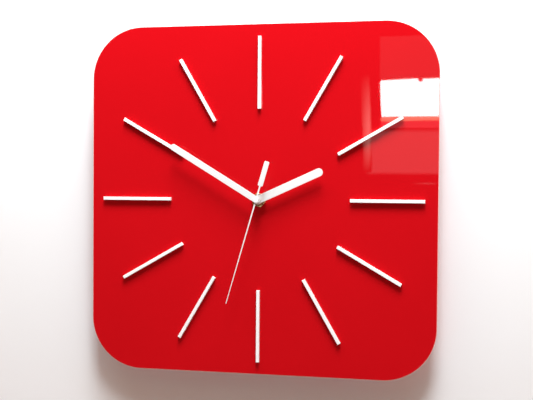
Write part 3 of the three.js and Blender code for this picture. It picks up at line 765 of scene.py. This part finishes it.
CASE = {"half": 28, "corner": 4, "wall": 1.2, "split": 8, "plate": 1.4, "bore": 4.05}
ROUNDED = [(0.9, 0), (0.55, 0.06), (0.26, 0.26), (0.06, 0.55), (0, 0.9)]  # (inset, depth)
SUNK_EDGE = [(0.4, 0), (0.12, 0.12), (0, 0.4)]  # the same for the mouth of a well
BAY = {"half": 25.6, "bottom": -26.2, "top": -12.2, "corner": 2}
WELL = {"radius": 6.2, "ledge": 0.8, "cup": 7.2, "shaft": 1.2, "floor": 2.8, "depth": 3.4}
TAB = {"proud": 0.45, "depth": 1, "half": 3, "at": (-14, 14), "back": 3.5, "front": 1.5}
RIB_EDGE = 0.15
case_outline = box_outline(
    -CASE["half"], -CASE["half"], CASE["half"], CASE["half"], CASE["corner"], 8
)
divider = box_outline(-25.8, -12, 25.8, -11)  # the wall between battery bay and train
cover_back = back_of("movement_back_cover")
case_front = front_of("movement_front_case")
split = CASE["split"]
knob_low, knob_high = span("set_knob")
KNOB_AT = ((knob_low.x + knob_high.x) / 2, (knob_low.y + knob_high.y) / 2)


def engraved(bm, outline, z, depth):
    """A mark sunk into a face that looks backwards. Returns its rim, for the face's cap."""
    hole = outline if area(outline) < 0 else outline[::-1]
    edge = 0.04
    made = rings(bm, hole, [(edge, z), (0, z + edge), (0, z + depth)])
    cap(bm, [made[-1]])
    return made[0]


def knob_arrow(start, end):
    """A bent arrow round the knob, from one angle to another, in degrees."""
    radius, width, head_width, head_length, steps = 8.7, 0.9, 2.16, 120, 14

    def at(degrees, r):
        a = math.radians(degrees)
        return (KNOB_AT[0] + r * math.cos(a), KNOB_AT[1] + r * math.sin(a))

    angles = [start + (end - start) * k / steps for k in range(steps + 1)]
    tip = end + math.copysign(head_length / radius, end - start)
    outer = [at(a, radius + width / 2) for a in angles]
    inner = [at(a, radius - width / 2) for a in reversed(angles)]
    head = [at(end, radius + head_width / 2), at(tip, radius), at(end, radius - head_width / 2)]
    return outer + head + inner


def plus_sign(x, y, arm, half):
    return [
        (x - arm, y - half), (x - half, y - half), (x - half, y - arm), (x + half, y - arm),
        (x + half, y - half), (x + arm, y - half), (x + arm, y + half), (x + half, y + half),
        (x + half, y + arm), (x - half, y + arm), (x - half, y + half), (x - arm, y + half),
    ]


# Marks on the cover's back, as (outline, depth): arrows round the knob, the battery's plus and
# minus, the place for a label, and the rings that ejector pins leave.
COVER_MARKS = [
    (knob_arrow(145, 198), 0.3),
    (knob_arrow(122, 69), 0.3),
    (plus_sign(11.4, -9.9, 1.2, 0.28), 0.3),
    (box_outline(-24.4, -10.2, -22, -9.6), 0.3),
    (box_outline(-20, 6, 8.5, 21, 1.2), 0.15),
    (circle(1.6, 24, (-23.5, 23.5)), 0.1),
    (circle(1.6, 24, (23.5, 23.5)), 0.1),
    (circle(1.6, 24, (-23.5, -1)), 0.1),
]


def back_cover():
    """A tray open over the battery, with a well for the knob and marks sunk in its back."""
    bm = bmesh.new()
    wall = CASE["wall"]
    back = cover_back
    inside = back + wall
    lip = [(0, split - 0.25), (0.25, split), (wall, split), (wall, inside + 0.3)]
    outside = [(d, back + depth) for d, depth in ROUNDED]
    shell = rings(bm, case_outline, outside + lip + [(wall + 0.3, inside)])
    mouth = [(d, back + depth) for d, depth in SUNK_EDGE]
    bay = box_outline(-BAY["half"], BAY["bottom"], BAY["half"], BAY["top"], BAY["corner"], 6)[::-1]
    bay_rings = rings(bm, bay, mouth + [(0, inside)])
    well = circle(WELL["radius"], 64, KNOB_AT)[::-1]
    ledge = [(WELL["ledge"], back + 0.41), (WELL["ledge"], inside)]
    well_rings = rings(bm, well, mouth + ledge)
    rims = [engraved(bm, outline, back, depth) for outline, depth in COVER_MARKS]
    cap(bm, [shell[0], bay_rings[0], well_rings[0]] + rims)
    cap(bm, [shell[-1], bay_rings[-1], well_rings[-1]])
    floor, underside = back + WELL["floor"], back + WELL["depth"]
    cup = [
        (WELL["radius"], back + 0.35), (WELL["radius"], floor - 0.2),
        (WELL["radius"] - 0.2, floor), (WELL["shaft"], floor), (WELL["shaft"], underside),
        (WELL["cup"] - 0.3, underside), (WELL["cup"], underside - 0.3),
        (WELL["cup"], back + 0.45),
    ]
    revolve(bm, cup, 64, KNOB_AT)
    plate(bm, divider, inside - 0.1, split, RIB_EDGE)
    piece(
        "moulded_cover", bm, "movement", FINISH["black_plastic"],
        ["movement_back_cover"],
    )


back_cover()


def snap_tab(bm, x0, y0, x1, y1):
    outline = box_outline(x0, y0, x1, y1, 0.2, 2)
    plate(bm, outline, split - TAB["back"], split + TAB["front"], RIB_EDGE)


def front_case():
    """The deep half of the case, with snap tabs over the cover's sides."""
    bm = bmesh.new()
    front = case_front
    inside = front - CASE["plate"]
    outside = [(d, front - depth) for d, depth in reversed(ROUNDED)]
    shell = rings(bm, case_outline, [(0.25, split), (0, split + 0.25)] + outside)
    bore_levels = [(0, inside), (0, front - 0.15), (0.15, front)]
    bore = rings(bm, circle(CASE["bore"], 48)[::-1], bore_levels)
    lining = rings(bm, case_outline, [(CASE["wall"], inside), (CASE["wall"], split)])
    strip(bm, lining[-1], shell[0])
    cap(bm, [shell[-1], bore[-1]])
    cap(bm, [lining[0], bore[0]])
    plate(bm, divider, split, inside + 0.1, RIB_EDGE)
    outer = CASE["half"] + TAB["proud"]
    inner = outer - TAB["depth"]
    for at in TAB["at"]:
        low, high = at - TAB["half"], at + TAB["half"]
        snap_tab(bm, -outer, low, -inner, high)
        snap_tab(bm, inner, low, outer, high)
        snap_tab(bm, low, -outer, high, -inner)
    piece(
        "moulded_case", bm, "movement", FINISH["black_plastic"],
        ["movement_front_case"],
    )


front_case()

# ---------------------------------------------------------------- setting knob

KNOB = {
    "radius": 5.4, "thickness": 2.1, "dish": 0.55, "shaft": 1, "pivot": 0.35,
    "pivot_length": 2.1,
}
RIDGE = {"count": 20, "depth": 0.35, "from": 4.6, "full_after": 0.5, "sharpness": 0.7}
WEB = {"half_length": 3.1, "half_width": 0.5, "corner": 0.4}  # finger grip across the knob's dish


def ridged(angle, radius, z):
    """Radius with the knob's grip ridges, which fade out away from its rim."""
    share = min(1.0, max(0.0, (radius - RIDGE["from"]) / RIDGE["full_after"]))
    wave = 0.5 - 0.5 * math.cos(RIDGE["count"] * angle)
    return radius - RIDGE["depth"] * share * wave ** RIDGE["sharpness"]


knob_back, dish = knob_low.z, knob_low.z + KNOB["dish"]
knob_front = knob_back + KNOB["thickness"]
pivot_end = knob_high.z
pivot_foot = pivot_end - KNOB["pivot_length"]
rim, shaft, pivot = KNOB["radius"], KNOB["shaft"], KNOB["pivot"]
bm = bmesh.new()
revolve(
    bm,
    [
        (0, dish), (3.4, dish), (3.55, dish - 0.05), (3.8, knob_back + 0.05), (3.95, knob_back),
        (rim - 0.6, knob_back), (rim - 0.3, knob_back + 0.08), (rim - 0.08, knob_back + 0.28),
        (rim, knob_back + 0.5), (rim, knob_front - 0.4), (rim - 0.1, knob_front - 0.15),
        (rim - 0.35, knob_front), (shaft + 0.3, knob_front), (shaft, knob_front + 0.3),
        (shaft, pivot_foot - 0.1), (shaft - 0.1, pivot_foot), (pivot, pivot_foot),
        (pivot, pivot_end - 0.1), (pivot - 0.1, pivot_end), (0, pivot_end),
    ],
    160,
    KNOB_AT,
    closed=False,
    shape=ridged,
)
web = box_outline(
    KNOB_AT[0] - WEB["half_length"], KNOB_AT[1] - WEB["half_width"],
    KNOB_AT[0] + WEB["half_length"], KNOB_AT[1] + WEB["half_width"], WEB["corner"], 4,
)
plate(bm, web, knob_back + 0.05, dish + 0.15, RIB_EDGE)
piece("grip_knob", bm, "setting_knob", FINISH["black_plastic"], ["set_knob"])

# ---------------------------------------------------------------- battery


def laid_along_x(low, high):
    """Lays a form turned about z along x, on the middle of a box."""
    middle = (low + high) / 2
    return Matrix(((0, 0, 1, 0), (0, 1, 0, middle.y), (-1, 0, 0, middle.z), (0, 0, 0, 1)))


cell_low, cell_high = span("battery_cell")
cell_laid = laid_along_x(cell_low, cell_high)
minus, shoulder, nub = cell_low.x, cell_high.x, span("battery_cap")[1].x
CELL_RADIUS = 7.1

bm = bmesh.new()
revolve(
    bm,
    [
        (5.7, minus + 0.25), (5.75, minus + 0.08), (5.95, minus), (6.6, minus),
        (6.95, minus + 0.15), (CELL_RADIUS, minus + 0.5), (CELL_RADIUS, shoulder - 0.5),
        (6.95, shoulder - 0.15), (6.6, shoulder), (5.95, shoulder), (5.75, shoulder - 0.08),
        (5.7, shoulder - 0.25),
    ],
    96,
)
bm.transform(cell_laid)
piece("cell_sleeve", bm, "battery", FINISH["battery_wrap"], ["battery_cell"])

bm = bmesh.new()
revolve(
    bm,
    [
        (0, minus + 0.1), (2.2, minus + 0.1), (2.5, minus + 0.02), (4.2, minus + 0.02),
        (4.5, minus + 0.2), (5.8, minus + 0.2), (5.8, shoulder - 0.35), (4.6, shoulder - 0.35),
        (4.4, shoulder - 0.15), (3.3, shoulder - 0.15), (3.1, shoulder - 0.3),
        (2.9, shoulder - 0.3), (2.75, shoulder - 0.1), (2.72, nub - 0.25), (2.45, nub), (0, nub),
    ],
    64,
    closed=False,
)
bm.transform(cell_laid)
piece("cell_ends", bm, "battery", FINISH["bright_steel"], ["battery_cap"])

# ---------------------------------------------------------------- inside the case


SHARP_FROM = 35  # degrees between faces


def refined(name, node, body, bevel):
    """A CAD node's shape with whole flat faces, rounded edges and smooth curves."""
    bm = bmesh.new()
    bm.from_mesh(CAD[node].data)
    bmesh.ops.remove_doubles(bm, verts=bm.verts, dist=1e-6)
    bmesh.ops.dissolve_limit(bm, angle_limit=math.radians(0.5), verts=bm.verts, edges=bm.edges)
    limit = math.radians(SHARP_FROM)
    sharp = [e for e in bm.edges if len(e.link_faces) == 2 and e.calc_face_angle() > limit]
    bmesh.ops.bevel(
        bm, geom=sharp, offset=bevel * MM, segments=2, profile=0.5, affect="EDGES",
        clamp_overlap=True,
    )
    bm.transform(FROM_ROW)
    slot = SLOT[node]
    piece(name, bm, body, FINISH[slot], [node], SHARP_FROM)


REFINED = [
    ("bridge_plate", "train_bridge", "movement", 0.15),
    ("stator_plate", "stator", "movement", 0.05),
    ("core_strip", "coil_core", "movement", 0.05),
    ("bobbin", "coil_bobbin", "movement", 0.1),
    ("board_plate", "circuit_board", "movement", 0.05),
    ("chip_blob", "timing_chip", "movement", 0.15),
    ("crystal_can", "quartz_crystal", "movement", 0.15),
    ("leaf_negative", "battery_contact_negative", "movement", 0.05),
    ("leaf_positive", "battery_contact_positive", "movement", 0.05),
    ("magnet_ring", "rotor_magnet", "rotor", 0.1),
    ("rotor_gear", "rotor_pinion", "rotor", 0.03),
    ("step_gear_wheel", "step_wheel", "step_gear", 0.03),
    ("second_gear_wheel", "second_wheel", "second_train", 0.03),
    ("second_shaft", "second_arbor", "second_train", 0.05),
    ("third_gear_wheel", "third_wheel", "third_gear", 0.03),
    ("centre_gear_wheel", "centre_wheel", "minute_train", 0.03),
    ("clutch_leaf", "clutch_spring", "minute_train", 0.03),
    ("minute_post", "minute_pipe", "minute_train", 0.05),
    ("motion_gear_wheel", "motion_wheel", "motion_gear", 0.03),
    ("hour_gear_wheel", "hour_wheel", "hour_train", 0.05),
    ("setting_gear_wheel", "set_gear", "setting_knob", 0.03),
]
for entry in REFINED:
    refined(*entry)

COIL_BORE = 1.95
WIRE = 0.13  # radius
coil_low, coil_high = span("coil_winding")
wire_line = (coil_high.y - coil_low.y) / 2 - WIRE  # radius of the outer layer's middle
turns = int((coil_high.x - coil_low.x) / (2 * WIRE))
coil_end = coil_low.x + 2 * turns * WIRE
wound = [(COIL_BORE, coil_low.x)]
for turn in range(turns):
    middle = coil_low.x + (2 * turn + 1) * WIRE
    for angle in (0, 45, 90, 135):
        a = math.radians(angle)
        wound.append((wire_line + WIRE * math.sin(a), middle - WIRE * math.cos(a)))
wound += [(wire_line, coil_end), (COIL_BORE, coil_end)]
bm = bmesh.new()
revolve(bm, wound, 32)
bm.transform(laid_along_x(coil_low, coil_high))
piece(
    "wound_coil", bm, "movement", FINISH["copper_wire"], ["coil_winding"],
    smooth_below=80,
)

# ---------------------------------------------------------------- studio

CAMERA_AT = (0.118529, -0.662434, -0.029821)
CAMERA_RIGHT = (0.98496845, 0.17256743, 0.00759122)
CAMERA_DOWN = (0.01132618, -0.02066911, -0.99972222)
CAMERA_AHEAD = (-0.17236259, 0.98478083, -0.02231295)
FOCAL_MM = 51.4924


def add_camera():
    data = bpy.data.cameras.new("photo_camera")
    data.sensor_width = 36
    data.lens = FOCAL_MM
    data.clip_start = 0.01
    camera = bpy.data.objects.new("photo_camera", data)
    right, down, ahead = Vector(CAMERA_RIGHT), Vector(CAMERA_DOWN), Vector(CAMERA_AHEAD)
    turn = Matrix((right, -down, -ahead)).transposed().to_4x4()
    camera.matrix_world = Matrix.Translation(CAMERA_AT) @ turn
    bpy.context.scene.collection.objects.link(camera)
    bpy.context.scene.camera = camera


add_camera()


def stage_plane(name, corners, material):
    mesh = bpy.data.meshes.new(name)
    mesh.from_pydata([Vector(c) for c in corners], [], [tuple(range(len(corners)))])
    mesh.materials.append(material)
    obj = bpy.data.objects.new(name, mesh)
    bpy.context.scene.collection.objects.link(obj)
    return obj


def painted_wall():
    """Matt white paint. From behind, the wall isn't there, so that the clock's back can be seen."""
    f = Finish("painted_wall", roughness=0.85)
    f.set("Base Color", f.mix(f.noise(6, 3), rgb(0.80, 0.795, 0.79), rgb(0.83, 0.825, 0.82)))
    f.set("Specular IOR Level", 0.2)
    clear = f.node("ShaderNodeBsdfTransparent").outputs["BSDF"]
    behind = f.node("ShaderNodeNewGeometry").outputs["Backfacing"]
    mixed = f.node("ShaderNodeMixShader", {0: behind, 1: f.shader.outputs["BSDF"], 2: clear})
    output = f.tree.nodes["Material Output"]
    f.tree.links.new(mixed.outputs["Shader"], output.inputs["Surface"])
    return f.material


FLOOR_Z, WALL_TOP, ROOM = -1.4, 2, 3
wall = stage_plane(
    "wall",
    [(-ROOM, 0, FLOOR_Z), (ROOM, 0, FLOOR_Z), (ROOM, 0, WALL_TOP), (-ROOM, 0, WALL_TOP)],
    painted_wall(),
)
wall.visible_shadow = False


def pale_floor():
    f = Finish("pale_floor", roughness=0.7)
    f.set("Base Color", f.mix(f.noise(8, 4), rgb(0.5, 0.56, 0.6), rgb(0.54, 0.6, 0.64)))
    f.set("Normal", f.bump(f.noise(300, 3), 0.0001))
    return f.material


stage_plane(
    "floor",
    [(-ROOM, -4, FLOOR_Z), (ROOM, -4, FLOOR_Z), (ROOM, 4, FLOOR_Z), (-ROOM, 4, FLOOR_Z)],
    pale_floor(),
)


def area_light(name, at, towards, size, power, colour=(1, 1, 1), glossy=True):
    data = bpy.data.lights.new(name, "AREA")
    data.shape = "RECTANGLE"
    data.size, data.size_y = size
    data.energy = power
    data.color = colour
    obj = bpy.data.objects.new(name, data)
    aim = Vector(towards) - Vector(at)
    obj.matrix_world = Matrix.Translation(at) @ aim.to_track_quat("-Z", "Y").to_matrix().to_4x4()
    obj.visible_camera = False
    obj.visible_glossy = glossy
    bpy.context.scene.collection.objects.link(obj)


COOL_WHITE = (0.845, 0.945, 1.0)
area_light("key", (0.115, -0.55, 1.17), (0, 0, -0.06), (0.38, 0.6), 36.4, COOL_WHITE)
area_light("top_fill", (0, -0.23, 0.45), (0, 0, 0.05), (0.9, 0.12), 3.2, COOL_WHITE, glossy=False)
area_light("back_fill", (0.5, 1.5, 0.8), (0, 0, -0.05), (1.0, 1.0), 13.0)


def reflected(at, distance):
    """Where the camera sees, mirrored in the dial's front, what lies this far in front of it."""
    plane_y = -panel_front * MM
    point = Vector((at[0] * MM, plane_y, at[1] * MM + DIAL_CENTRE.z))
    ray = point - Vector(CAMERA_AT)
    ray.y = -ray.y
    return point + ray * (distance / abs(ray.y))


def card(name, corners, colour, strength, fade=(0.0, 0.0, 0.0, 0.0), distance=1.5):
    """A bright shape that only mirrors in the clock: a window or a lit wall behind the camera.

    Its corners are where it shows on the dial, in mm. fade is how much of it is soft at its left,
    right, bottom and top.
    """
    f = Finish(name)
    f.tree.nodes.remove(f.shader)
    place = f.node("ShaderNodeTexCoord").outputs["Generated"]
    axes = f.node("ShaderNodeSeparateXYZ", {"Vector": place}).outputs
    level = strength
    for axis, low, high in (("X", fade[0], fade[1]), ("Z", fade[2], fade[3])):
        if low:
            level = f.math("MULTIPLY", f.range(axes[axis], 0, low), level)
        if high:
            level = f.math("MULTIPLY", f.range(axes[axis], 1, 1 - high), level)
    glow = f.node("ShaderNodeEmission", {"Color": rgb(*colour), "Strength": level})
    f.tree.links.new(glow.outputs[0], f.tree.nodes["Material Output"].inputs["Surface"])
    obj = stage_plane(name, [reflected(c, distance) for c in corners], f.material)
    obj.visible_camera = False
    obj.visible_diffuse = False
    obj.visible_shadow = False


def band(x0, y0, x1, y1):
    return [(x0, y0), (x1, y0), (x1, y1), (x0, y1)]


PAST_DIAL = 185  # x beyond the dial's right edge, mm
WHITE, ROSE = (1, 1, 1), (1, 0.5, 0.51)
window = [
    (102.8, 70.6), (PAST_DIAL, 69.6), (PAST_DIAL, 101.8), (136.6, 101.2), (135.6, 98.7),
    (133, 98.7), (132, 101.2), (101.3, 100.4),
]
card("window", window, WHITE, 30)
card("sill", band(102.5, 66.6, PAST_DIAL, 70.3), (1, 0.45, 0.3), 10, distance=1.49)
card("under_sill", band(102.5, 60.6, PAST_DIAL, 66.4), (1, 0.17, 0.2), 4)
wall_below = band(89.5, 21.5, PAST_DIAL, 60.4)
card("lit_wall", wall_below, ROSE, 1.9, (0.05, 0, 0.07, 0.1))
card("wall_glow", wall_below, ROSE, 2.3, (0.05, 0, 0.9, 0.1), distance=1.51)
card("above_window", band(101, 101.5, PAST_DIAL, 136.5), WHITE, 0.42)
curtain = [(88, 24), (95.5, 24), (92.5, 106), (85, 106)]
card("curtain", curtain, (1, 0.62, 0.55), 4.8, (0.6, 0.3, 0.35, 0.5), distance=1.48)
card("shelf_line", band(128, 14.4, 149, 15.4), WHITE, 0.9, (0.5, 0.2, 0, 0))


AMBIENT, DIM_ROOM, BACKDROP = rgb(0.77, 0.45, 0.32), rgb(0.03, 0.025, 0.025), rgb(0.72, 0.71, 0.7)
DIM_TOWARDS = (-0.17, -1, 0)
DIM_WITHIN, LIT_BEYOND = 30, 60  # degrees from DIM_TOWARDS


def world():
    """Warm ambient light, dim in the cone that the dial mirrors, behind a pale backdrop."""
    made = bpy.data.worlds.new("studio")
    bpy.context.scene.world = made
    made.use_nodes = True
    tree = made.node_tree
    background = tree.nodes["Background"]
    place = tree.nodes.new("ShaderNodeTexCoord")
    dot = tree.nodes.new("ShaderNodeVectorMath")
    dot.operation = "DOT_PRODUCT"
    dot.inputs[1].default_value = Vector(DIM_TOWARDS).normalized()
    tree.links.new(place.outputs["Generated"], dot.inputs[0])
    ramp = tree.nodes.new("ShaderNodeMapRange")
    ramp.inputs["From Min"].default_value = math.cos(math.radians(LIT_BEYOND))
    ramp.inputs["From Max"].default_value = math.cos(math.radians(DIM_WITHIN))
    tree.links.new(dot.outputs["Value"], ramp.inputs["Value"])
    mix = tree.nodes.new("ShaderNodeMix")
    mix.data_type = "RGBA"
    sockets = [s for s in mix.inputs if s.enabled]
    tree.links.new(ramp.outputs["Result"], sockets[0])
    sockets[1].default_value = AMBIENT
    sockets[2].default_value = DIM_ROOM
    tree.links.new([s for s in mix.outputs if s.enabled][0], background.inputs["Color"])
    background.inputs["Strength"].default_value = 1.1

    backdrop = tree.nodes.new("ShaderNodeBackground")
    backdrop.inputs["Color"].default_value = BACKDROP
    path = tree.nodes.new("ShaderNodeLightPath")
    choice = tree.nodes.new("ShaderNodeMixShader")
    tree.links.new(path.outputs["Is Camera Ray"], choice.inputs[0])
    tree.links.new(background.outputs[0], choice.inputs[1])
    tree.links.new(backdrop.outputs[0], choice.inputs[2])
    tree.links.new(choice.outputs[0], tree.nodes["World Output"].inputs["Surface"])


world()
bpy.context.scene.view_settings.view_transform = "Standard"
